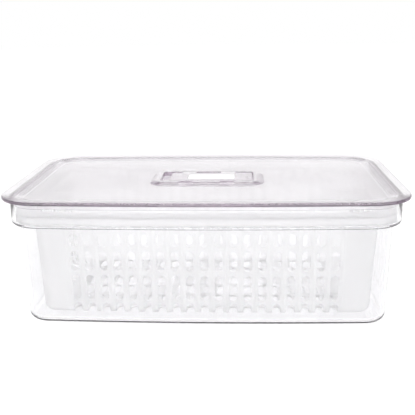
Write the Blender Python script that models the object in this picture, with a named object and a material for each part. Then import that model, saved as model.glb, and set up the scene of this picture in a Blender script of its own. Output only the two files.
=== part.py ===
"""Clear fridge bin with a lift-off lid, a lift-out strainer basket and a sliding air vent in the lid.

Units are metres. X runs along the bin, -Y is its front and Z is up. The origin is the middle of the
flat underside of the outer bin, which is also the middle of the whole object seen from above.
"""
import math

import bmesh
import bpy
from mathutils import Vector

MM = 0.001
GAP = 0.3 * MM  # left between two pieces that rest on each other
NO_BOW = 0.0

# Plan of the lid, which the collar and the walls follow at a constant inset from its edge.
LENGTH = 320 * MM
DEPTH = 195 * MM
SIDE_BOW = 3 * MM  # how far the middle of the long sides stands proud of their ends
LID_CORNER = 34 * MM
CORNER_STEPS = 6
LONG_STEPS = 4  # even, so that the middle of each long side is its furthest point

# Heights above the table.
LID_TOP = 104 * MM
FLANGE_BOTTOM = 101.3 * MM
PANEL_TOP = 101.4 * MM
RIM_TOP = FLANGE_BOTTOM - GAP
LEDGE_BOTTOM = 81.2 * MM
LEDGE_TOP = 83.4 * MM
FLOOR_TOP = 2.6 * MM

# Insets of the outer bin's faces from the lid's edge.
COLLAR_INSET = 6.2 * MM
WALL = 2.1 * MM
BODY_TOP_INSET = 12.5 * MM
BODY_FOOT_INSET = 15.1 * MM
BASE_FILLET = 6 * MM
COLLAR_FILLET = 2.6 * MM
INNER_FILLET = 3.9 * MM

# Lid.
FLANGE_WIDTH = 9 * MM  # flat part of the top, before it dishes down to the panel
PANEL_INSET = 17.7 * MM
LID_SHEET = 2.4 * MM
PLUG_INSET = COLLAR_INSET + WALL + GAP
PLUG_WALL = 1.8 * MM
PLUG_BOTTOM = 96.4 * MM

# Vent: a low ramped frame on the panel with a track sunk into it, and a slide that runs in the track.
FRAME_FOOT = (48.4 * MM, 29.5 * MM, 16 * MM)  # half length, half depth, corner radius
FRAME_CREST = (41.0 * MM, 21.4 * MM, 5 * MM)
CREST_TOP = 103.3 * MM
TRACK = (39.6 * MM, 18.0 * MM, 3.5 * MM)
TRACK_FLOOR = 99.6 * MM
TUB = (41.8 * MM, 20.2 * MM, 5.7 * MM)
TUB_BOTTOM = 97.4 * MM
NOTCH_FROM, NOTCH_TO = 11 * MM, 23.5 * MM
NOTCH_FLOOR = 101.9 * MM
VENT_HOLE = (5.2 * MM, 8 * MM)
VENT_HOLE_X = 36 * MM
VENT_HOLE_PITCH = 10.5 * MM

SLIDE = (35.75 * MM, 17.6 * MM, 3.2 * MM)
SLIDE_BOTTOM = TRACK_FLOOR + GAP
SLIDE_TOP = 102.9 * MM
SLIDE_BEVEL = 0.6 * MM
SLIDE_SHUT_X = 3.25 * MM  # middle of the slide when the vent is shut; open is the same to the left
LEG = (5.0 * MM, 2.2 * MM)
LEG_X, LEG_Y = 24.2 * MM, 12.7 * MM
LEG_BOTTOM = 95.6 * MM
BARB = 1.3 * MM
LABEL = (20 * MM, 9.5 * MM, 1.2 * MM)
LABEL_RECESS = 0.55 * MM

# Strainer basket. Its corners share one centre from top to bottom, so the walls taper evenly.
BASKET_FOOT = 6.2 * MM
BASKET_RIM = 90.4 * MM
BASKET_SKIN = 1.6 * MM
BASKET_FOOT_HALF_X = 132.8 * MM
BASKET_HALF_DIFFERENCE = 62.8 * MM  # half length less half depth at the corners
BASKET_BOW = 2.5 * MM
BASKET_TAPER = 0.0535
BASKET_CORNER_X = 120.5 * MM
BASKET_FILLET = 5 * MM
RIM_INSET = 9.4 * MM
SLOT_WIDTH = 6.5 * MM
SLOT_PITCH = 11.41 * MM
LONG_COLUMNS = 19
SHORT_COLUMNS = 9
SLOT_ROWS = ((17.9 * MM, 39.3 * MM), (43.0 * MM, 59.6 * MM),
             (63.2 * MM, 74.2 * MM), (78.4 * MM, 86.0 * MM))
FOOT_SLOT_TOP = 15.0 * MM  # the lowest slots turn the corner into the floor
FOOT_SLOT_LENGTH = 12.5 * MM  # how far they run in from the foot of the wall
FLOOR_SLOT_LENGTH = 18.2 * MM
FLOOR_SLOT_ROWS = 5
FLOOR_SLOT_PITCH = 22.2 * MM


def clear_scene():
    for thing in list(bpy.data.objects):
        bpy.data.objects.remove(thing, do_unlink=True)


def plastic(name, colour, roughness, transmission):
    """A Principled material for one moulded piece."""
    material = bpy.data.materials.new(name)
    material.use_nodes = True
    shader = material.node_tree.nodes["Principled BSDF"]
    shader.inputs["Base Color"].default_value = (*colour, 1.0)
    shader.inputs["Roughness"].default_value = roughness
    shader.inputs["Metallic"].default_value = 0.0
    shader.inputs["IOR"].default_value = 1.57
    shader.inputs["Transmission Weight"].default_value = transmission
    return material


def side_points(start, end, bow, steps):
    """Points from start up to, but not including, end, on a shallow arch that bows outwards."""
    run = end - start
    outwards = Vector((run.y, -run.x)).normalized()
    shares = [step / steps for step in range(steps)]
    return [start + run * t + outwards * bow * 4 * t * (1 - t) for t in shares]


def corner_points(centre, radius, start_angle):
    """Points along a quarter circle, without its last one."""
    angles = [start_angle + math.pi / 2 * step / CORNER_STEPS for step in range(CORNER_STEPS)]
    return [centre + radius * Vector((math.cos(a), math.sin(a))) for a in angles]


def outline(half_x, half_y, radius, bow=NO_BOW):
    """A rectangle with round corners, anticlockwise from above, whose long sides may bow outwards."""
    inner_x, inner_y = half_x - radius, half_y - radius
    points = side_points(Vector((-inner_x, -half_y)), Vector((inner_x, -half_y)), bow, LONG_STEPS)
    points += corner_points(Vector((inner_x, -inner_y)), radius, -math.pi / 2)
    points += side_points(Vector((half_x, -inner_y)), Vector((half_x, inner_y)), NO_BOW, 1)
    points += corner_points(Vector((inner_x, inner_y)), radius, 0.0)
    points += side_points(Vector((inner_x, half_y)), Vector((-inner_x, half_y)), bow, LONG_STEPS)
    points += corner_points(Vector((-inner_x, inner_y)), radius, math.pi / 2)
    points += side_points(Vector((-half_x, inner_y)), Vector((-half_x, -inner_y)), NO_BOW, 1)
    points += corner_points(Vector((-inner_x, -inner_y)), radius, math.pi)
    return points


def plan(inset):
    """The lid's outline, moved inwards by inset."""
    half_y = DEPTH / 2 - SIDE_BOW
    return outline(LENGTH / 2 - inset, half_y - inset, LID_CORNER - inset, SIDE_BOW)


def quarter(from_inset, from_z, to_inset, to_z, steps=3, flat_first=True):
    """Rings (inset, z) on a quarter ellipse. With flat_first it leaves along the level."""
    rings = []
    for step in range(steps + 1):
        angle = math.pi / 2 * step / steps
        across, up = math.sin(angle), 1 - math.cos(angle)
        if not flat_first:
            across, up = up, across
        rings.append((from_inset + (to_inset - from_inset) * across, from_z + (to_z - from_z) * up))
    return rings


def add_mesh(name, mesh_data, material):
    bmesh.ops.recalc_face_normals(mesh_data, faces=mesh_data.faces)
    mesh = bpy.data.meshes.new(name)
    mesh_data.to_mesh(mesh)
    mesh_data.free()
    mesh.shade_smooth()
    mesh.set_sharp_from_angle(angle=math.radians(35))
    piece = bpy.data.objects.new(name, mesh)
    bpy.context.collection.objects.link(piece)
    if material:
        mesh.materials.append(material)
    return piece


def loft(name, rings, material):
    """One closed solid through rings of (points, z) that all have the same number of points.

    The first ring is capped as the underside, and the last as the surface that the skin ends on.
    """
    shape = bmesh.new()
    loops = [[shape.verts.new((point.x, point.y, z)) for point in points] for points, z in rings]
    for lower, upper in zip(loops, loops[1:]):
        for i in range(len(lower)):
            j = (i + 1) % len(lower)
            shape.faces.new((lower[i], lower[j], upper[j], upper[i]))
    shape.faces.new(reversed(loops[0]))
    shape.faces.new(loops[-1])
    return add_mesh(name, shape, material)


def cutter(name, mesh_data):
    """A shape that only serves a Boolean and isn't part of the object."""
    piece = add_mesh(name, mesh_data, None)
    piece.hide_render = True
    piece.display_type = "WIRE"
    return piece


def boxes(name, spans):
    """One cutter or added shape made of separate boxes, each given by its low and high corners."""
    shape = bmesh.new()
    for low, high in spans:
        corners = bmesh.ops.create_cube(shape, size=1.0)["verts"]
        for vert in corners:
            vert.co = Vector(h if c > 0 else l for l, h, c in zip(low, high, vert.co))
    return cutter(name, shape)


def combine(piece, other, operation):
    """Cuts other out of piece, or adds it."""
    change = piece.modifiers.new(other.name, "BOOLEAN")
    change.operation = operation
    change.solver = "EXACT"
    change.object = other


def make_bin(material):
    """The outer bin: tapered body, a ledge for the basket and a collar that the lid plugs into."""
    wall_foot = BODY_FOOT_INSET + WALL
    wall_top = BODY_TOP_INSET + WALL
    rim_round = 0.6 * MM
    profile = quarter(BODY_FOOT_INSET + BASE_FILLET, 0.0, BODY_FOOT_INSET, BASE_FILLET)
    profile += [(BODY_TOP_INSET, LEDGE_BOTTOM - 1.2 * MM), (BODY_TOP_INSET - 1.2 * MM, LEDGE_BOTTOM)]
    profile += quarter(COLLAR_INSET + COLLAR_FILLET, LEDGE_BOTTOM,
                       COLLAR_INSET + 0.2 * MM, LEDGE_BOTTOM + COLLAR_FILLET)
    profile += [(COLLAR_INSET, RIM_TOP - rim_round), (COLLAR_INSET + rim_round, RIM_TOP)]
    profile += [(COLLAR_INSET + WALL - rim_round, RIM_TOP), (COLLAR_INSET + WALL, RIM_TOP - rim_round)]
    profile += quarter(COLLAR_INSET + WALL + 0.1 * MM, LEDGE_TOP + 1 * MM,
                       COLLAR_INSET + WALL + 1.1 * MM, LEDGE_TOP, 2, flat_first=False)
    profile += [(wall_top - 0.8 * MM, LEDGE_TOP), (wall_top, LEDGE_TOP - 0.8 * MM)]
    profile += quarter(wall_foot, FLOOR_TOP + INNER_FILLET,
                       wall_foot + INNER_FILLET, FLOOR_TOP, 3, flat_first=False)
    return loft("outer_bin", [(plan(inset), z) for inset, z in profile], material)


def basket_ring(outwards, z):
    """The basket's wall line at height z, moved outwards."""
    half_x = BASKET_FOOT_HALF_X + (z - BASKET_FOOT) * BASKET_TAPER + outwards
    return outline(half_x, half_x - BASKET_HALF_DIFFERENCE, half_x - BASKET_CORNER_X, BASKET_BOW)


def make_basket(material):
    """The strainer basket: slotted tapered walls and floor, hung by a turned-down rim."""
    skirt_bottom = LEDGE_TOP + GAP
    flange_bottom = BASKET_RIM - BASKET_SKIN
    floor_top = BASKET_FOOT + BASKET_SKIN
    skirt_inner = RIM_INSET + BASKET_SKIN
    inner_fillet = BASKET_FILLET - BASKET_SKIN
    rings = []
    for back, z in quarter(BASKET_FILLET, BASKET_FOOT, 0.0, BASKET_FOOT + BASKET_FILLET):
        rings.append((basket_ring(-back, z), z))
    rings.append((basket_ring(0.0, flange_bottom), flange_bottom))
    rings += [(plan(skirt_inner), flange_bottom), (plan(skirt_inner), skirt_bottom),
              (plan(RIM_INSET), skirt_bottom), (plan(RIM_INSET), BASKET_RIM - 0.8 * MM),
              (plan(RIM_INSET + 0.8 * MM), BASKET_RIM)]
    rings.append((basket_ring(-BASKET_SKIN, BASKET_RIM), BASKET_RIM))
    for back, z in quarter(0.0, floor_top + inner_fillet, inner_fillet, floor_top, 3, flat_first=False):
        rings.append((basket_ring(-BASKET_SKIN - back, z), z))
    basket = loft("strainer_basket", rings, material)
    combine(basket, boxes("basket_slots", basket_slots()), "DIFFERENCE")
    return basket


def centred(count, pitch):
    """count positions a pitch apart, centred on zero."""
    return [(i - (count - 1) / 2) * pitch for i in range(count)]


def basket_slots():
    """Boxes that cut every slot: rows through the walls, slots round the foot and a grid in the floor."""
    half = SLOT_WIDTH / 2
    foot_half_y = BASKET_FOOT_HALF_X - BASKET_HALF_DIFFERENCE
    wall_reach = 5 * MM
    outside = 10 * MM
    below, above = BASKET_FOOT - 1 * MM, BASKET_FOOT + BASKET_SKIN + 1 * MM
    rows = [(below, FOOT_SLOT_TOP, 0.0, FOOT_SLOT_LENGTH)]
    for bottom, top in SLOT_ROWS:
        rows.append((bottom, top, (bottom - BASKET_FOOT) * BASKET_TAPER, wall_reach))
    spans = []
    for bottom, top, widening, reach in rows:
        half_x, half_y = BASKET_FOOT_HALF_X + widening, foot_half_y + widening
        for side in (-1, 1):
            for x in centred(LONG_COLUMNS, SLOT_PITCH):
                low, high = sorted((side * (half_y - reach), side * (half_y + outside)))
                spans.append(((x - half, low, bottom), (x + half, high, top)))
            for y in centred(SHORT_COLUMNS, SLOT_PITCH):
                low, high = sorted((side * (half_x - reach), side * (half_x + outside)))
                spans.append(((low, y - half, bottom), (high, y + half, top)))
    for x in centred(LONG_COLUMNS, SLOT_PITCH):
        for y in centred(FLOOR_SLOT_ROWS, FLOOR_SLOT_PITCH):
            reach = FLOOR_SLOT_LENGTH / 2
            spans.append(((x - half, y - reach, below), (x + half, y + reach, above)))
    return spans


def make_lid(material):
    """The lid: overhanging flange, plug skirt, dished panel and the vent's frame and track."""
    slope = (LID_TOP - PANEL_TOP) / (PANEL_INSET - FLANGE_WIDTH)
    panel_bottom = PANEL_TOP - LID_SHEET
    skirt_inner = PLUG_INSET + PLUG_WALL
    skirt_root = LID_TOP - (skirt_inner - FLANGE_WIDTH) * slope - LID_SHEET
    edge = 0.7 * MM
    rings = [(outline(*TUB), TUB_BOTTOM), (outline(*TUB), panel_bottom)]
    profile = [(PANEL_INSET, panel_bottom), (skirt_inner, skirt_root), (skirt_inner, PLUG_BOTTOM),
               (PLUG_INSET + 0.3 * MM, PLUG_BOTTOM), (PLUG_INSET, PLUG_BOTTOM + 0.8 * MM),
               (PLUG_INSET, FLANGE_BOTTOM), (edge, FLANGE_BOTTOM), (0.0, FLANGE_BOTTOM + edge),
               (0.0, LID_TOP - edge), (edge, LID_TOP), (FLANGE_WIDTH, LID_TOP), (PANEL_INSET, PANEL_TOP)]
    rings += [(plan(inset), z) for inset, z in profile]
    rings += [(outline(*FRAME_FOOT), PANEL_TOP), (outline(*FRAME_CREST), CREST_TOP),
              (outline(*TRACK), CREST_TOP), (outline(*TRACK), TRACK_FLOOR)]
    lid = loft("lid", rings, material)
    combine(lid, boxes("lid_openings", lid_openings()), "DIFFERENCE")
    return lid


def lid_openings():
    """Boxes for the vent holes, the slots that the slide's legs run in and the notches in its frame."""
    spans = []
    below, above = TUB_BOTTOM - 1 * MM, TRACK_FLOOR + 1 * MM
    half_x, half_y = VENT_HOLE[0] / 2, VENT_HOLE[1] / 2
    for y in centred(3, VENT_HOLE_PITCH):
        spans.append(((VENT_HOLE_X - half_x, y - half_y, below), (VENT_HOLE_X + half_x, y + half_y, above)))
    reach = SLIDE_SHUT_X + LEG[0] / 2 + 2 * GAP
    half_slot = LEG[1] / 2 + GAP
    outside = FRAME_FOOT[1] + 1 * MM
    for side_x in (-1, 1):
        for side_y in (-1, 1):
            x, y = side_x * LEG_X, side_y * LEG_Y
            spans.append(((x - reach, y - half_slot, below), (x + reach, y + half_slot, above)))
            across = sorted((side_x * NOTCH_FROM, side_x * NOTCH_TO))
            through = sorted((side_y * (TRACK[1] - 1 * MM), side_y * outside))
            spans.append(((across[0], through[0], NOTCH_FLOOR),
                          (across[1], through[1], CREST_TOP + 1 * MM)))
    return spans


def make_slide(material):
    """The vent's slide: a plate with a label recess on top and four barbed legs below."""
    def ring(inset, z):
        return outline(SLIDE[0] - inset, SLIDE[1] - inset, SLIDE[2] - inset), z

    recess = outline(LABEL[0] + GAP, LABEL[1] + GAP, LABEL[2] + GAP)
    rings = [ring(0.3 * MM, SLIDE_BOTTOM), ring(0.0, SLIDE_BOTTOM + 0.3 * MM),
             ring(0.0, SLIDE_TOP - SLIDE_BEVEL), ring(SLIDE_BEVEL, SLIDE_TOP),
             (recess, SLIDE_TOP), (recess, SLIDE_TOP - LABEL_RECESS)]
    slide = loft("vent_slide", rings, material)
    slide.location.x = SLIDE_SHUT_X
    legs = slide_legs()
    legs.location.x = SLIDE_SHUT_X
    combine(slide, legs, "UNION")
    return slide


def slide_legs():
    """Four flat legs, each with a barb on its outer side that catches under the lid's track."""
    half_x, half_y = LEG[0] / 2, LEG[1] / 2
    barb_top = TUB_BOTTOM - GAP
    root = SLIDE_BOTTOM + 1 * MM
    section = [(-half_y, LEG_BOTTOM), (half_y + 0.3 * MM, LEG_BOTTOM), (half_y + BARB, barb_top),
               (half_y, barb_top), (half_y, root), (-half_y, root)]
    shape = bmesh.new()
    for x in (-LEG_X, LEG_X):
        for side in (-1, 1):
            left = [shape.verts.new((x - half_x, side * (LEG_Y + y), z)) for y, z in section]
            right = [shape.verts.new((x + half_x, side * (LEG_Y + y), z)) for y, z in section]
            shape.faces.new(left)
            shape.faces.new(right)
            for i in range(len(section)):
                j = (i + 1) % len(section)
                shape.faces.new((left[i], left[j], right[j], right[i]))
    return cutter("slide_legs", shape)


def make_label(material):
    """A blank label that lies in the slide's recess."""
    bottom = SLIDE_TOP - LABEL_RECESS + GAP
    label = loft("blank_label", [(outline(*LABEL), bottom), (outline(*LABEL), SLIDE_TOP)], material)
    label.location.x = SLIDE_SHUT_X
    return label


def main():
    clear_scene()
    make_bin(plastic("clear_bin", (0.93, 0.94, 0.96), 0.03, 1.0))
    make_basket(plastic("frosted_basket", (0.90, 0.90, 0.92), 0.45, 0.6))
    make_lid(plastic("clear_lid", (0.93, 0.90, 0.95), 0.03, 1.0))
    make_slide(plastic("clear_slide", (0.93, 0.90, 0.95), 0.04, 1.0))
    make_label(plastic("white_label", (0.95, 0.95, 0.95), 0.4, 0.0))


main()
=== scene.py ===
"""Looks of the clear fridge bin: a clear outer bin, a frosted strainer basket, a violet-tinted lid, its vent.

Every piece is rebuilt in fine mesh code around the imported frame. Lengths are in metres.
"""
import math

import bmesh
import bpy
import numpy as np
from mathutils import Matrix, Vector
from mathutils.geometry import delaunay_2d_cdt


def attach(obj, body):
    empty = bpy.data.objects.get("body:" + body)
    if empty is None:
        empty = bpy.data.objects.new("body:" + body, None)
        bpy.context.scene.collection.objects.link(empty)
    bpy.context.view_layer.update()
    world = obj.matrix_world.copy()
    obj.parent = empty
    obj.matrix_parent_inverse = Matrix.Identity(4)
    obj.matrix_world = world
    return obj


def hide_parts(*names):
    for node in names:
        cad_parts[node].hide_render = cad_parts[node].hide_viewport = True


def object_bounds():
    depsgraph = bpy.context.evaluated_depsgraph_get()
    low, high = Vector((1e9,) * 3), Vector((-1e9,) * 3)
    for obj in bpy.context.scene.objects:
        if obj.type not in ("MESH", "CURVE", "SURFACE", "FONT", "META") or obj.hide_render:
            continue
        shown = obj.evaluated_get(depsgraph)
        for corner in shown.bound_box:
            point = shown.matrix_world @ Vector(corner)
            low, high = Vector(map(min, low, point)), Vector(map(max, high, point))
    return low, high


MM = 0.001
GAP = 0.3 * MM

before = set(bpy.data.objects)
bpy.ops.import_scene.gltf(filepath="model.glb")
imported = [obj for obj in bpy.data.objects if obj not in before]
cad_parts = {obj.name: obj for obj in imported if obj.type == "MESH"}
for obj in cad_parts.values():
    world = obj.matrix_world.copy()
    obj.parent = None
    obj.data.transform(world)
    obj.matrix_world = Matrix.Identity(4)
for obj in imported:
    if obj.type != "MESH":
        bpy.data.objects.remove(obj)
cad_low, cad_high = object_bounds()

# ---------------------------------------------------------------- plan outlines

LENGTH, DEPTH, TOP = cad_high - cad_low
SIDE_BOW = 3 * MM
LID_CORNER = 34 * MM
CORNER_STEPS, LONG_STEPS, SHORT_STEPS = 18, 36, 14


def run(start, end, bow, steps):
    """Points from start up to, but not including, end, on a shallow outward arch."""
    t = np.arange(steps) / steps
    start, end = np.array(start), np.array(end)
    way = end - start
    out = np.array([way[1], -way[0]]) / np.hypot(*way)
    return start + t[:, None] * way + (bow * 4 * t * (1 - t))[:, None] * out


def corner(centre, radius, first):
    """Points along a quarter circle, without its last one."""
    a = first + np.pi / 2 * np.arange(CORNER_STEPS) / CORNER_STEPS
    return np.array(centre) + radius * np.stack([np.cos(a), np.sin(a)], 1)


def outline(half_x, half_y, radius, bow=0.0):
    """A round-cornered rectangle, anticlockwise from above, whose long sides may bow outwards."""
    x, y = half_x - radius, half_y - radius
    return np.concatenate([
        run((-x, -half_y), (x, -half_y), bow, LONG_STEPS), corner((x, -y), radius, -np.pi / 2),
        run((half_x, -y), (half_x, y), 0.0, SHORT_STEPS), corner((x, y), radius, 0.0),
        run((x, half_y), (-x, half_y), bow, LONG_STEPS), corner((-x, y), radius, np.pi / 2),
        run((-half_x, y), (-half_x, -y), 0.0, SHORT_STEPS), corner((-x, -y), radius, np.pi)])


def plan(inset):
    """The lid's outline, moved inwards."""
    radius = max(LID_CORNER - inset, 0.5 * MM)
    return outline(LENGTH / 2 - inset, DEPTH / 2 - SIDE_BOW - inset, radius, SIDE_BOW)


def rounded(points, steps=5):
    """A polyline of (across, up, radius) with each bend turned into an arc of that radius."""
    made = []
    for i, (x, z, radius) in enumerate(points):
        here = np.array([x, z])
        if radius <= 0 or i in (0, len(points) - 1):
            made.append(here)
            continue
        before, after = np.array(points[i - 1][:2]) - here, np.array(points[i + 1][:2]) - here
        reach = [np.hypot(*before), np.hypot(*after)]
        before, after = before / reach[0], after / reach[1]
        half = math.acos(max(-1.0, min(1.0, float(before @ after)))) / 2
        back = min(radius / math.tan(half), 0.49 * min(reach))
        radius = back * math.tan(half)
        middle = before + after
        centre = here + middle / np.hypot(*middle) * radius / math.sin(half)
        start, end = here + before * back - centre, here + after * back - centre
        a0 = math.atan2(start[1], start[0])
        turn = math.atan2(start[0] * end[1] - start[1] * end[0], start @ end)
        for k in range(steps + 1):
            a = a0 + turn * k / steps
            made.append(centre + radius * np.array([math.cos(a), math.sin(a)]))
    return made


# ---------------------------------------------------------------- meshes

def new_object(name, mesh, sharp=34.0):
    mesh.shade_smooth()
    mesh.set_sharp_from_angle(angle=math.radians(sharp))
    piece = bpy.data.objects.new(name, mesh)
    bpy.context.scene.collection.objects.link(piece)
    return piece


def mesh_from(name, verts, faces):
    mesh = bpy.data.meshes.new(name)
    mesh.from_pydata([tuple(v) for v in verts], [], faces)
    shape = bmesh.new()
    shape.from_mesh(mesh)
    bmesh.ops.remove_doubles(shape, verts=shape.verts, dist=1e-7)
    bmesh.ops.recalc_face_normals(shape, faces=shape.faces)
    shape.to_mesh(mesh)
    shape.free()
    return mesh


def loft(name, rings):
    """A closed skin through (outline, z) rings, capped at both ends."""
    count = len(rings[0][0])
    verts = np.concatenate([np.column_stack([points, np.full(count, z)]) for points, z in rings])
    faces = []
    for r in range(len(rings) - 1):
        for i in range(count):
            j = (i + 1) % count
            faces.append((r * count + i, r * count + j, (r + 1) * count + j, (r + 1) * count + i))
    faces.append(tuple(reversed(range(count))))
    faces.append(tuple(range((len(rings) - 1) * count, len(rings) * count)))
    return mesh_from(name, verts, faces)


def stadium_prism(centre, half, low, high, round_to=1.0, steps=6):
    """Verts and faces of an upright prism with a round-cornered section, for cutting holes."""
    radius = min(half) * round_to
    pts = []
    for k, (sx, sy) in enumerate(((1, -1), (1, 1), (-1, 1), (-1, -1))):
        for step in range(steps + 1):
            a = -math.pi / 2 + k * math.pi / 2 + math.pi / 2 * step / steps
            pts.append((centre[0] + sx * (half[0] - radius) + radius * math.cos(a),
                        centre[1] + sy * (half[1] - radius) + radius * math.sin(a)))
    n = len(pts)
    verts = [(x, y, low) for x, y in pts] + [(x, y, high) for x, y in pts]
    faces = [(i, (i + 1) % n, n + (i + 1) % n, n + i) for i in range(n)]
    return verts, faces + [tuple(reversed(range(n))), tuple(range(n, 2 * n))]


def joined(name, parts):
    verts, faces = [], []
    for more_verts, more_faces in parts:
        start = len(verts)
        verts += more_verts
        faces += [tuple(start + i for i in face) for face in more_faces]
    return mesh_from(name, verts, faces)


def boolean(piece, other_mesh, operation, sharp=34.0):
    """Cuts or adds a mesh and keeps the result as the piece's own mesh."""
    other = bpy.data.objects.new("tool", other_mesh)
    bpy.context.scene.collection.objects.link(other)
    change = piece.modifiers.new("change", "BOOLEAN")
    change.operation, change.solver, change.object = operation, "EXACT", other
    bpy.context.view_layer.update()
    done = bpy.data.meshes.new_from_object(piece.evaluated_get(bpy.context.evaluated_depsgraph_get()))
    piece.modifiers.clear()
    old, piece.data = piece.data, done
    done.name = piece.name
    bpy.data.meshes.remove(old)
    bpy.data.objects.remove(other)
    bpy.data.meshes.remove(other_mesh)
    done.shade_smooth()
    done.set_sharp_from_angle(angle=math.radians(sharp))


# ---------------------------------------------------------------- outer bin

RIM_TOP = 101.0 * MM
COLLAR_INSET = 6.2 * MM
WALL = 2.1 * MM
LEDGE_BOTTOM, LEDGE_TOP = 81.2 * MM, 83.4 * MM
BODY_TOP_INSET, BODY_FOOT_INSET = 12.5 * MM, 15.1 * MM
FLOOR_TOP = 2.6 * MM
BASE_FILLET, COLLAR_FILLET, INNER_FILLET = 6 * MM, 2.6 * MM, 4 * MM
RIM_ROUND = 0.7 * MM
FLOOR_RING = 42 * MM  # inset of the last ring, where the flat cap begins


def make_bin():
    profile = [(FLOOR_RING, 0.0, 0), (BODY_FOOT_INSET, 0.0, BASE_FILLET),
               (BODY_TOP_INSET, LEDGE_BOTTOM, 1.2 * MM), (COLLAR_INSET, LEDGE_BOTTOM, COLLAR_FILLET),
               (COLLAR_INSET, RIM_TOP, RIM_ROUND), (COLLAR_INSET + WALL, RIM_TOP, RIM_ROUND),
               (COLLAR_INSET + WALL, LEDGE_TOP, 1.0 * MM), (BODY_TOP_INSET + WALL, LEDGE_TOP, 0.8 * MM),
               (BODY_FOOT_INSET + WALL, FLOOR_TOP, INNER_FILLET), (FLOOR_RING, FLOOR_TOP, 0)]
    rings = [(plan(inset), z) for inset, z in rounded(profile, 7)]
    return new_object("clear_outer_bin", loft("clear_outer_bin", rings))


# ---------------------------------------------------------------- lid

FLANGE_BOTTOM, PANEL_TOP = 101.3 * MM, 101.4 * MM
FLANGE_WIDTH, PANEL_INSET = 9 * MM, 17.7 * MM
LID_SHEET = 2.4 * MM
PLUG_INSET = COLLAR_INSET + WALL + GAP
PLUG_WALL = 1.8 * MM
PLUG_BOTTOM = 96.4 * MM
FRAME_FOOT = (48.4 * MM, 29.5 * MM, 16 * MM)
FRAME_CREST = (41.0 * MM, 21.4 * MM, 5 * MM)
CREST_TOP = 103.3 * MM
TRACK = (39.6 * MM, 18.0 * MM, 3.5 * MM)
TRACK_FLOOR = 99.6 * MM
TUB = (41.8 * MM, 20.2 * MM, 5.7 * MM)
TUB_BOTTOM = 97.4 * MM
NOTCH_FROM, NOTCH_TO, NOTCH_FLOOR = 11 * MM, 23.5 * MM, 101.9 * MM
VENT_HOLE, VENT_HOLE_X, VENT_HOLE_PITCH = (5.2 * MM, 8 * MM), 36 * MM, 10.5 * MM
SLIDE = (35.75 * MM, 17.6 * MM, 3.2 * MM)
SLIDE_BOTTOM, SLIDE_TOP = TRACK_FLOOR + GAP, 102.9 * MM
SLIDE_SHUT_X = 3.25 * MM
LEG, LEG_X, LEG_Y = (5.0 * MM, 2.2 * MM), 24.2 * MM, 12.7 * MM
LEG_BOTTOM, BARB = 95.6 * MM, 1.3 * MM
LABEL = (20 * MM, 9.5 * MM, 1.2 * MM)
LABEL_RECESS = 0.55 * MM
PANEL_RING = 40 * MM  # inset of the panel's last ring
EDGE_ROUND = 0.9 * MM
DISH_ROUND = 4 * MM


def between(a, b, t):
    return a + (b - a) * t


def make_lid():
    slope = (TOP - PANEL_TOP) / (PANEL_INSET - FLANGE_WIDTH)
    under = PANEL_TOP - LID_SHEET
    skirt_inner = PLUG_INSET + PLUG_WALL
    root = TOP - (skirt_inner - FLANGE_WIDTH) * slope - LID_SHEET
    rings = [(outline(*TUB), TUB_BOTTOM), (outline(*TUB), under)]
    profile = [(PANEL_RING, under, 0), (PANEL_INSET, under, DISH_ROUND), (skirt_inner, root, 0.6 * MM),
               (skirt_inner, PLUG_BOTTOM, 0.4 * MM), (PLUG_INSET, PLUG_BOTTOM, 0.6 * MM),
               (PLUG_INSET, FLANGE_BOTTOM, 0.4 * MM), (0.0, FLANGE_BOTTOM, EDGE_ROUND),
               (0.0, TOP, EDGE_ROUND), (FLANGE_WIDTH, TOP, DISH_ROUND), (PANEL_INSET, PANEL_TOP, DISH_ROUND),
               (PANEL_RING, PANEL_TOP, 0)]
    rings += [(plan(inset), z) for inset, z in rounded(profile, 6)]
    foot, crest = outline(*FRAME_FOOT), outline(*FRAME_CREST)
    rings.append((outline(*(size + 0.3 * MM for size in FRAME_FOOT)), PANEL_TOP))
    for t in np.linspace(0, 1, 13):
        rise = 1.5 * t - 0.5 * t ** 3
        rings.append((between(foot, crest, t), PANEL_TOP + (CREST_TOP - PANEL_TOP) * rise))
    rings += [(outline(*(size - 0.2 * MM for size in FRAME_CREST)), CREST_TOP),
              (outline(TRACK[0] + 0.3 * MM, TRACK[1] + 0.3 * MM, TRACK[2]), CREST_TOP),
              (outline(*TRACK), CREST_TOP - 0.3 * MM), (outline(*TRACK), TRACK_FLOOR)]
    lid = new_object("tinted_lid", loft("tinted_lid", rings))
    tools = []
    for y in (-VENT_HOLE_PITCH, 0.0, VENT_HOLE_PITCH):
        tools.append(stadium_prism((VENT_HOLE_X, y), (VENT_HOLE[0] / 2, VENT_HOLE[1] / 2),
                                   TUB_BOTTOM - MM, TRACK_FLOOR + MM, 0.5))
    reach = SLIDE_SHUT_X + LEG[0] / 2 + 2 * GAP
    for side_x in (-1, 1):
        for side_y in (-1, 1):
            tools.append(stadium_prism((side_x * LEG_X, side_y * LEG_Y), (reach, LEG[1] / 2 + GAP),
                                       TUB_BOTTOM - MM, TRACK_FLOOR + MM, 0.3))
            middle = side_y * (TRACK[1] + FRAME_FOOT[1]) / 2
            tools.append(stadium_prism((side_x * (NOTCH_FROM + NOTCH_TO) / 2, middle),
                                       ((NOTCH_TO - NOTCH_FROM) / 2, (FRAME_FOOT[1] - TRACK[1]) / 2 + MM),
                                       NOTCH_FLOOR, CREST_TOP + MM, 0.08))
    boolean(lid, joined("tools", tools), "DIFFERENCE")
    return lid


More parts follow.
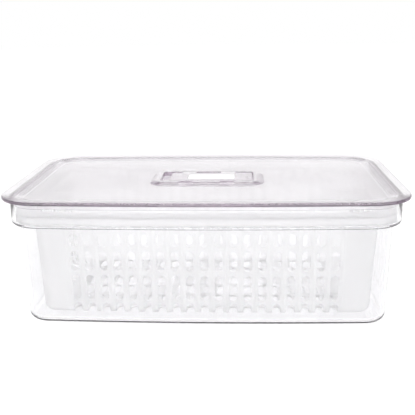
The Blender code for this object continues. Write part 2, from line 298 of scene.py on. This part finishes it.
def make_slide():
    def ring(inset):
        return outline(SLIDE[0] - inset, SLIDE[1] - inset, SLIDE[2] - inset)

    recess = outline(LABEL[0] + GAP, LABEL[1] + GAP, LABEL[2] + GAP)
    rings = [(ring(0.4 * MM), SLIDE_BOTTOM), (ring(0.0), SLIDE_BOTTOM + 0.4 * MM)]
    for k in range(5):
        a = math.pi / 2 * k / 4
        rings.append((ring(EDGE_ROUND * (1 - math.cos(a))), SLIDE_TOP - EDGE_ROUND * (1 - math.sin(a))))
    rings += [(recess, SLIDE_TOP), (recess, SLIDE_TOP - LABEL_RECESS)]
    slide = new_object("vent_slide_plate", loft("vent_slide_plate", rings))
    legs = []
    half_x, half_y = LEG[0] / 2, LEG[1] / 2
    barb_top, root = TUB_BOTTOM - GAP, SLIDE_BOTTOM + MM
    section = [(-half_y, LEG_BOTTOM), (half_y + 0.3 * MM, LEG_BOTTOM),
               (half_y + BARB, barb_top - 0.3 * MM), (half_y + BARB, barb_top),
               (half_y, barb_top), (half_y, root), (-half_y, root)]
    n = len(section)
    for x in (-LEG_X, LEG_X):
        for side in (-1, 1):
            verts = [(x + s * half_x, side * (LEG_Y + y), z) for s in (-1, 1) for y, z in section]
            faces = [tuple(range(n)), tuple(reversed(range(n, 2 * n)))]
            faces += [(i, (i + 1) % n, n + (i + 1) % n, n + i) for i in range(n)]
            legs.append((verts, faces))
    boolean(slide, joined("legs", legs), "UNION")
    slide.data.transform(Matrix.Translation((SLIDE_SHUT_X, 0, 0)))
    return slide


def make_label():
    bottom = SLIDE_TOP - LABEL_RECESS + GAP
    small = outline(LABEL[0] - 0.06 * MM, LABEL[1] - 0.06 * MM, LABEL[2] - 0.06 * MM)
    rings = [(outline(*LABEL), bottom), (outline(*LABEL), SLIDE_TOP - 0.06 * MM), (small, SLIDE_TOP)]
    label = new_object("blank_label_film", loft("blank_label_film", rings))
    label.data.transform(Matrix.Translation((SLIDE_SHUT_X, 0, 0)))
    return label


# ---------------------------------------------------------------- strainer basket

FOOT, BASKET_RIM, SKIN = 6.2 * MM, 90.4 * MM, 1.6 * MM
FOOT_HALF_X, FOOT_HALF_Y = 132.8 * MM, 70.0 * MM
BASKET_BOW, TAPER = 2.5 * MM, 0.0535
CORNER_X, CORNER_Y = 120.5 * MM, 57.7 * MM
FILLET = 5 * MM
RIM_INSET = 9.4 * MM
SLOT_WIDTH, PITCH = 6.5 * MM, 11.41 * MM
LONG_COLUMNS, SHORT_COLUMNS = 19, 9
SLOT_ROWS = ((15.0, -8.6), (17.9, 39.3), (43.0, 59.6), (63.2, 74.2), (78.4, 86.0))
FLOOR_SLOT, FLOOR_ROWS, FLOOR_PITCH = 18.2 * MM, 5, 22.2 * MM
STRIP_IN = 14.5 * MM  # how far the walls' strip of mesh reaches in over the floor
RIB_HEIGHT = 0.45 * MM
RIB_STOPS = (0.0, 0.4, 0.8, 1.2, 1.7)  # mm from a rib's middle
RIB_START, RIB_FADE_IN, RIB_FADE_OUT = 15 * MM, 8 * MM, 4 * MM  # along the wall strip
HOLE_STEPS = 8
HOLE_BEVEL = 0.28 * MM
CORNER_DRAW_IN = 0.6  # the strip is narrower over the floor at the corners


def stations():
    """Round the basket: (side, place along it, rib height there, whether a slot column starts here)."""
    made = []

    def side(number, half, count):
        edge = count * PITCH / 2
        lead = np.linspace(-half, -edge - RIB_STOPS[-1] * MM, 5)
        for x in lead:
            made.append((number, x / half, 0.0, False))
        for column in range(count + 1):
            middle = -edge + column * PITCH
            stops = sorted({-x for x in RIB_STOPS} | set(RIB_STOPS))
            for k, x in enumerate(stops):
                if column == 0 and k == 0:
                    continue
                bump = math.cos(math.pi / 2 * abs(x) / RIB_STOPS[-1]) ** 2
                slot_next = k == len(stops) - 1 and column < count
                made.append((number, (middle + x * MM) / half, bump, slot_next))
            if column < count:
                a, b = middle + RIB_STOPS[-1] * MM, middle + PITCH - RIB_STOPS[-1] * MM
                for k in range(1, HOLE_STEPS):
                    made.append((number, (a + (b - a) * k / HOLE_STEPS) / half, 0.0, False))
        for x in -lead[::-1][1:-1]:
            made.append((number, x / half, 0.0, False))

    halves = (CORNER_X, CORNER_Y, CORNER_X, CORNER_Y)
    counts = (LONG_COLUMNS, SHORT_COLUMNS, LONG_COLUMNS, SHORT_COLUMNS)
    for number in range(4):
        side(number, halves[number], counts[number])
        for k in range(12):
            made.append((number + 4, k / 12, 0.0, False))
    return made


STATIONS = stations()


def around(half_x, half_y, cx, cy, bow):
    """Place and outward normal at every station of an outline with corner centres (cx, cy)."""
    places, normals = [], []
    for number, t, _, _ in STATIONS:
        if number < 4:
            arch = bow * (1 - t * t) if number % 2 == 0 else 0.0
            tilt = -2 * bow * t / cx if number % 2 == 0 else 0.0
            along, reach = (cx * t, half_y + arch) if number % 2 == 0 else (cy * t, half_x)
            normal = np.array([-tilt, -1.0]) / math.hypot(tilt, 1)
            place = np.array([along, -reach])
            turn = number * math.pi / 2
        else:
            a = -math.pi / 2 + t * math.pi / 2
            turn = (number - 4) * math.pi / 2
            normal = np.array([math.cos(a), math.sin(a)])
            c = (cx, cy) if (number - 4) % 2 == 0 else (cy, cx)
            radius = np.array([half_x - cx, half_y - cy] if number % 2 == 0 else [half_y - cy, half_x - cx])
            place = np.array([c[0], -c[1]]) + radius * normal
        spin = np.array([[math.cos(turn), -math.sin(turn)], [math.sin(turn), math.cos(turn)]])
        places.append(spin @ place)
        normals.append(spin @ normal)
    return np.array(places), np.array(normals)


def profile_at(v):
    """The wall strip's outer face at a distance v from its edge on the floor: inset, z, normal."""
    flat = STRIP_IN - FILLET
    arc = FILLET * math.pi / 2
    if v < flat:
        return STRIP_IN - v, FOOT, 0.0, -1.0
    if v < flat + arc:
        a = (v - flat) / FILLET
        return FILLET * (1 - math.sin(a)), FOOT + FILLET * (1 - math.cos(a)), math.sin(a), -math.cos(a)
    z = FOOT + FILLET + (v - flat - arc)
    return -(z - FOOT - FILLET) * TAPER, z, 1.0, 0.0


def v_at(z):
    """The distance v of a height on the wall."""
    return STRIP_IN - FILLET + FILLET * math.pi / 2 + z - FOOT - FILLET


def make_basket():
    foot, normals = around(FOOT_HALF_X, FOOT_HALF_Y, CORNER_X, CORNER_Y, BASKET_BOW)
    count = len(STATIONS)
    ribs = np.array([s[2] for s in STATIONS])
    in_corner = np.array([not (s[0] < 4 and abs(s[1]) * (CORNER_X, CORNER_Y)[s[0] % 2]
                               <= (LONG_COLUMNS, SHORT_COLUMNS)[s[0] % 2] * PITCH / 2 + 2 * MM)
                          for s in STATIONS])
    draw_in = np.where(in_corner, CORNER_DRAW_IN, 1.0)

    rows = []
    for low, high in SLOT_ROWS:
        if high < 0:
            rows.append((2.0 * MM, v_at(low * MM)))
        else:
            rows.append((v_at(low * MM), v_at(high * MM)))
    wall_top = v_at(BASKET_RIM - SKIN)
    levels, cells = [0.0], []
    for low, high in rows:
        margin = 0.85 * MM
        steps = max(3, round((high - low) / (3.2 * MM)))
        if low - margin > levels[-1] + 0.2 * MM:
            levels.append(low - margin)
        first = len(levels) - 1
        for k in range(1, steps + 1):
            levels.append(low - margin + (high - low + 2 * margin) * k / steps)
        cells.append((first, len(levels) - 1, low, high))
    levels.append(wall_top)

    verts, faces = [], []

    def add(point):
        verts.append(tuple(point))
        return len(verts) - 1

    def point_at(station, v, depth):
        """A point depth in from the outer face; station may lie between two stations."""
        i = int(math.floor(station)) % count
        t = station - math.floor(station)
        j = (i + 1) % count
        base = foot[i] * (1 - t) + foot[j] * t
        normal = normals[i] * (1 - t) + normals[j] * t
        rib = ribs[i] * (1 - t) + ribs[j] * t
        inset, z, out, up = profile_at(v)
        if v < STRIP_IN - FILLET:
            inset = FILLET + (inset - FILLET) * (draw_in[i] * (1 - t) + draw_in[j] * t)
        fade_in = min(1.0, max(0.0, (v - RIB_START) / RIB_FADE_IN))
        fade_out = min(1.0, max(0.0, (wall_top - 1 * MM - v) / RIB_FADE_OUT))
        fade = fade_in * fade_out
        grow = RIB_HEIGHT * rib * fade * (1 if depth == 0 else 0) - depth
        xy = base + normal * (-inset + out * grow)
        return xy[0], xy[1], z + up * grow

    # both faces as grids
    grid = {}
    for side_no, depth in enumerate((0.0, SKIN)):
        for k, v in enumerate(levels):
            for i in range(count):
                grid[side_no, k, i] = add(point_at(i, v, depth))
    slot_starts = [i for i in range(count) if STATIONS[i][3]]
    in_cell = set()
    for first, last, _, _ in cells:
        for s in slot_starts:
            for k in range(first, last):
                for i in range(s, s + HOLE_STEPS):
                    in_cell.add((k, i % count))
    for side_no in (0, 1):
        for k in range(len(levels) - 1):
            for i in range(count):
                if (k, i) in in_cell:
                    continue
                j = (i + 1) % count
                faces.append((grid[side_no, k, i], grid[side_no, k, j],
                              grid[side_no, k + 1, j], grid[side_no, k + 1, i]))

    radius = SLOT_WIDTH / 2
    bevel = HOLE_BEVEL
    for first, last, low, high in cells:
        tall = last - first
        for s in slot_starts:
            span = (PITCH - 2 * RIB_STOPS[-1] * MM)
            border = [(first, s + i) for i in range(HOLE_STEPS)]
            border += [(first + k, s + HOLE_STEPS) for k in range(tall)]
            border += [(last, s + HOLE_STEPS - i) for i in range(HOLE_STEPS)]
            border += [(last - k, s) for k in range(tall)]
            shape = []  # place across the cell and along v for each border point, on a slot of unit offset
            for i in range(HOLE_STEPS):
                a = math.pi + math.pi * i / HOLE_STEPS
                shape.append((math.cos(a), math.sin(a), 0.0))
            for k in range(tall):
                shape.append((1.0, 0.0, k / tall))
            for i in range(HOLE_STEPS):
                a = math.pi * i / HOLE_STEPS
                shape.append((math.cos(a), math.sin(a), 1.0))
            for k in range(tall):
                shape.append((-1.0, 0.0, 1.0 - k / tall))

            def ring(widen, depth):
                made = []
                for across, up, share in shape:
                    x = across * (radius + widen)
                    v = low + radius + (high - low - 2 * radius) * share + up * (radius + widen)
                    station = s + (x / span + 0.5) * HOLE_STEPS
                    made.append(add(point_at(station, v, depth)))
                return made

            outer_border = [grid[0, k, i % count] for k, i in border]
            inner_border = [grid[1, k, i % count] for k, i in border]
            chain = [outer_border, ring(bevel, 0.0), ring(0.0, bevel), ring(0.0, SKIN - bevel),
                     ring(bevel, SKIN), inner_border]
            n = len(border)
            for a, b in zip(chain, chain[1:]):
                for i in range(n):
                    j = (i + 1) % n
                    faces.append((a[i], a[j], b[j], b[i]))

    # the floor inside the strip, with its grid of slots
    floor_slots = []
    for cx in (np.arange(LONG_COLUMNS) - (LONG_COLUMNS - 1) / 2) * PITCH:
        for cy in (np.arange(FLOOR_ROWS) - (FLOOR_ROWS - 1) / 2) * FLOOR_PITCH:
            floor_slots.append((cx, cy))

    def slot_ring(cx, cy, widen):
        reach = FLOOR_SLOT / 2 - radius
        made = []
        for k in range(14):
            a = math.pi * k / 13
            made.append((cx + (radius + widen) * math.cos(a), cy + reach + (radius + widen) * math.sin(a)))
        for k in range(14):
            a = math.pi + math.pi * k / 13
            made.append((cx + (radius + widen) * math.cos(a), cy - reach + (radius + widen) * math.sin(a)))
        return made

    edge = [Vector(verts[grid[0, 0, i]][:2]) for i in range(count)]
    flat_points = list(edge)
    loops = [list(range(count))]
    for cx, cy in floor_slots:
        start = len(flat_points)
        flat_points += [Vector(p) for p in slot_ring(cx, cy, bevel)]
        loops.append(list(range(start, len(flat_points))))
    edges = [(loop[i], loop[(i + 1) % len(loop)]) for loop in loops for i in range(len(loop))]
    out_points, _, triangles, _, _, _ = delaunay_2d_cdt(flat_points, edges, [], 0, 1e-9)

    def kept(tri):
        cx = sum(out_points[i].x for i in tri) / 3
        cy = sum(out_points[i].y for i in tri) / 3
        for sx, sy in floor_slots:
            dy = max(0.0, abs(cy - sy) - (FLOOR_SLOT / 2 - radius))
            if math.hypot(cx - sx, dy) < radius + bevel * 0.5:
                return False
        inside = False
        for a, b in zip(edge, edge[1:] + edge[:1]):
            if (a.y > cy) != (b.y > cy) and cx < a.x + (cy - a.y) * (b.x - a.x) / (b.y - a.y):
                inside = not inside
        return inside

    tris = [t for t in triangles if kept(t)]
    for z in (FOOT, FOOT + SKIN):
        at = [add((p.x, p.y, z)) for p in out_points]
        faces += [tuple(at[i] for i in t) for t in tris]
    for cx, cy in floor_slots:
        rings = [(bevel, FOOT), (0.0, FOOT + bevel), (0.0, FOOT + SKIN - bevel), (bevel, FOOT + SKIN)]
        loops_3d = [[add((x, y, z)) for x, y in slot_ring(cx, cy, widen)] for widen, z in rings]
        for a, b in zip(loops_3d, loops_3d[1:]):
            for i in range(len(a)):
                j = (i + 1) % len(a)
                faces.append((a[i], a[j], b[j], b[i]))

    # the flange and its turned-down edge
    half_y = DEPTH / 2 - SIDE_BOW
    skirt_bottom = LEDGE_TOP + GAP

    def rim(inset, z):
        places, _ = around(LENGTH / 2 - inset, half_y - inset,
                           LENGTH / 2 - LID_CORNER, half_y - LID_CORNER, SIDE_BOW)
        return [add((x, y, z)) for x, y in places]

    under = BASKET_RIM - SKIN
    section = rounded([(14 * MM, under, 0), (RIM_INSET + SKIN, under, 0.6 * MM),
                       (RIM_INSET + SKIN, skirt_bottom, 0.3 * MM), (RIM_INSET, skirt_bottom, 0.3 * MM),
                       (RIM_INSET, BASKET_RIM, 1.6 * MM), (14 * MM, BASKET_RIM, 0)], 4)
    top = len(levels) - 1
    inner_top = []
    for i in range(count):
        x, y, z = point_at(i, v_at(BASKET_RIM), SKIN)
        inner_top.append(add((x, y, BASKET_RIM)))
    chain = [[grid[0, top, i] for i in range(count)]]
    chain += [rim(inset, z) for inset, z in section[1:-1]]
    chain += [inner_top, [grid[1, top, i] for i in range(count)]]
    for a, b in zip(chain, chain[1:]):
        for i in range(count):
            j = (i + 1) % count
            faces.append((a[i], a[j], b[j], b[i]))
    return new_object("frosted_basket", mesh_from("frosted_basket", verts, faces), 40.0)


# ---------------------------------------------------------------- materials

def plastic(name, colour, transmission, ior, roughness, scale, bump, absorb=None, density=0.0, clouding=0.0):
    """A moulded plastic: roughness (low, high) and bump vary with noise of the given scale."""
    material = bpy.data.materials.new(name)
    material.use_nodes = True
    nodes, links = material.node_tree.nodes, material.node_tree.links
    shader = nodes["Principled BSDF"]
    shader.inputs["Base Color"].default_value = (*colour, 1)
    shader.inputs["IOR"].default_value = ior
    shader.inputs["Transmission Weight"].default_value = transmission

    place = nodes.new("ShaderNodeTexCoord")
    noise = nodes.new("ShaderNodeTexNoise")
    noise.inputs["Scale"].default_value = scale
    noise.inputs["Detail"].default_value = 4.0
    links.new(place.outputs["Object"], noise.inputs["Vector"])
    spread = nodes.new("ShaderNodeMapRange")
    spread.inputs["From Min"].default_value = 0.3
    spread.inputs["From Max"].default_value = 0.7
    spread.inputs["To Min"].default_value = roughness[0]
    spread.inputs["To Max"].default_value = roughness[1]
    links.new(noise.outputs["Fac"], spread.inputs["Value"])
    links.new(spread.outputs["Result"], shader.inputs["Roughness"])

    if clouding:
        tone = nodes.new("ShaderNodeValToRGB")
        tone.color_ramp.elements[0].position = 0.3
        tone.color_ramp.elements[0].color = (*(c * (1 - clouding) for c in colour), 1)
        tone.color_ramp.elements[1].position = 0.7
        tone.color_ramp.elements[1].color = (*colour, 1)
        links.new(noise.outputs["Fac"], tone.inputs[0])
        links.new(tone.outputs["Color"], shader.inputs["Base Color"])

    wave = nodes.new("ShaderNodeTexNoise")
    wave.inputs["Scale"].default_value = scale * 0.35
    links.new(place.outputs["Object"], wave.inputs["Vector"])
    relief = nodes.new("ShaderNodeBump")
    relief.inputs["Strength"].default_value = bump
    relief.inputs["Distance"].default_value = 0.2 * MM
    links.new(wave.outputs["Fac"], relief.inputs["Height"])
    links.new(relief.outputs["Normal"], shader.inputs["Normal"])
    if absorb:
        volume = nodes.new("ShaderNodeVolumeAbsorption")
        volume.inputs["Color"].default_value = (*absorb, 1)
        volume.inputs["Density"].default_value = density
        links.new(volume.outputs[0], nodes["Material Output"].inputs["Volume"])
    return material


def finish_piece(piece, material, node, body):
    piece.data.materials.clear()
    piece.data.materials.append(material)
    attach(piece, body)
    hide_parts(node)


clear = plastic("clear styrene", (0.985, 0.985, 0.99), 1.0, 1.57, (0.0, 0.02), 24, 0.03,
                (0.58, 0.55, 0.60), 30.0)
tinted = plastic("violet-tinted styrene", (0.965, 0.955, 0.968), 1.0, 1.57, (0.10, 0.16), 14, 0.03,
                 (0.62, 0.53, 0.62), 19.0)
frosted = plastic("frosted polypropylene", (1.0, 1.0, 1.0), 0.75, 1.3, (0.3, 0.42), 60, 0.04, clouding=0.02)
white = plastic("white film", (0.97, 0.97, 0.97), 0.0, 1.45, (0.35, 0.5), 200, 0.05, clouding=0.02)

finish_piece(make_bin(), clear, "outer_bin", "bin")
finish_piece(make_basket(), frosted, "strainer_basket", "basket")
finish_piece(make_lid(), tinted, "lid", "lid")
finish_piece(make_slide(), tinted, "vent_slide", "vent")
finish_piece(make_label(), white, "blank_label", "vent")


# ---------------------------------------------------------------- studio

SOFTBOX_SIZE = (1.6, 0.7)
SOFTBOX_PLACE = (0.0, -0.5, 1.3)
SOFTBOX_POWER = 9.0
FLOOR_ALBEDO, FLOOR_GLOW = 0.4, 0.72
# brightness of the surroundings from the horizon (0) to overhead (1), with a dark band low in the sky
SKY_STOPS = ((0.0, 1.0), (0.46, 1.0), (0.52, 0.1), (0.64, 0.1), (0.70, 0.9), (1.0, 0.9))
CAMERA_PLACE = (29.3 * MM, -595.3 * MM, 235.2 * MM)
CAMERA_PITCH, CAMERA_YAW, CAMERA_ROLL = 15.034, 2.869, -0.7238  # degrees
CAMERA_LENS = 60.97
MAX_BOUNCES = 128  # frosted and clear sheets pass light back and forth many times

def make_floor():
    shape = bmesh.new()
    bmesh.ops.create_circle(shape, cap_ends=True, radius=6.0, segments=96)
    mesh = bpy.data.meshes.new("studio_floor")
    shape.to_mesh(mesh)
    shape.free()
    floor = bpy.data.objects.new("studio_floor", mesh)
    floor.location.z = -0.0002
    bpy.context.scene.collection.objects.link(floor)
    material = bpy.data.materials.new("pale floor")
    material.use_nodes = True
    nodes, links = material.node_tree.nodes, material.node_tree.links
    shader = nodes["Principled BSDF"]
    shader.inputs["Base Color"].default_value = (FLOOR_ALBEDO, FLOOR_ALBEDO, FLOOR_ALBEDO, 1)
    shader.inputs["Roughness"].default_value = 0.9
    shader.inputs["Specular IOR Level"].default_value = 0.0
    shader.inputs["Emission Color"].default_value = (1, 1, 1, 1)
    shader.inputs["Emission Strength"].default_value = FLOOR_GLOW
    mesh.materials.append(material)


def make_world():
    world = bpy.data.worlds.new("studio")
    bpy.context.scene.world = world
    world.use_nodes = True
    nodes, links = world.node_tree.nodes, world.node_tree.links
    place = nodes.new("ShaderNodeTexCoord")
    split = nodes.new("ShaderNodeSeparateXYZ")
    links.new(place.outputs["Generated"], split.inputs[0])
    ramp = nodes.new("ShaderNodeValToRGB")
    links.new(split.outputs["Z"], ramp.inputs[0])
    elements = ramp.color_ramp.elements
    while len(elements) < len(SKY_STOPS):
        elements.new(0.5)
    for element, (at, value) in zip(elements, SKY_STOPS):
        element.position = at
        element.color = (value, value, value, 1)
    background = nodes["Background"]
    links.new(ramp.outputs["Color"], background.inputs["Color"])
    background.inputs["Strength"].default_value = 1.0


def make_softbox():
    """A wide soft light overhead, a little in front of the bin."""
    light = bpy.data.lights.new("softbox", "AREA")
    light.shape = "RECTANGLE"
    light.size, light.size_y = SOFTBOX_SIZE
    light.energy = SOFTBOX_POWER
    box = bpy.data.objects.new("softbox", light)
    box.location = SOFTBOX_PLACE
    aim = Vector((0, 0, 0.08)) - Vector(SOFTBOX_PLACE)
    box.rotation_euler = aim.to_track_quat("-Z", "Y").to_euler()
    bpy.context.scene.collection.objects.link(box)


def make_camera():
    data = bpy.data.cameras.new("camera")
    camera = bpy.data.objects.new("camera", data)
    bpy.context.scene.collection.objects.link(camera)
    pitch, yaw, roll = (math.radians(a) for a in (CAMERA_PITCH, CAMERA_YAW, CAMERA_ROLL))
    forward = Vector((-math.sin(yaw) * math.cos(pitch), math.cos(yaw) * math.cos(pitch), -math.sin(pitch)))
    right = forward.cross(Vector((0, 0, 1))).normalized()
    up = right.cross(forward)
    turned = right * math.cos(roll) + up * math.sin(roll)
    up = -right * math.sin(roll) + up * math.cos(roll)
    matrix = Matrix((turned, up, -forward)).transposed().to_4x4()
    matrix.translation = Vector(CAMERA_PLACE)
    camera.matrix_world = matrix
    data.sensor_width = 36.0
    data.lens = CAMERA_LENS
    data.clip_start, data.clip_end = 0.01, 50.0
    bpy.context.scene.camera = camera


make_floor()
make_world()
make_softbox()
make_camera()
settings = bpy.context.scene
settings.view_settings.view_transform = "Standard"
settings.cycles.max_bounces = MAX_BOUNCES
settings.cycles.transmission_bounces = MAX_BOUNCES
settings.cycles.glossy_bounces = MAX_BOUNCES // 2
settings.cycles.diffuse_bounces = MAX_BOUNCES // 2
settings.cycles.blur_glossy = 0.0
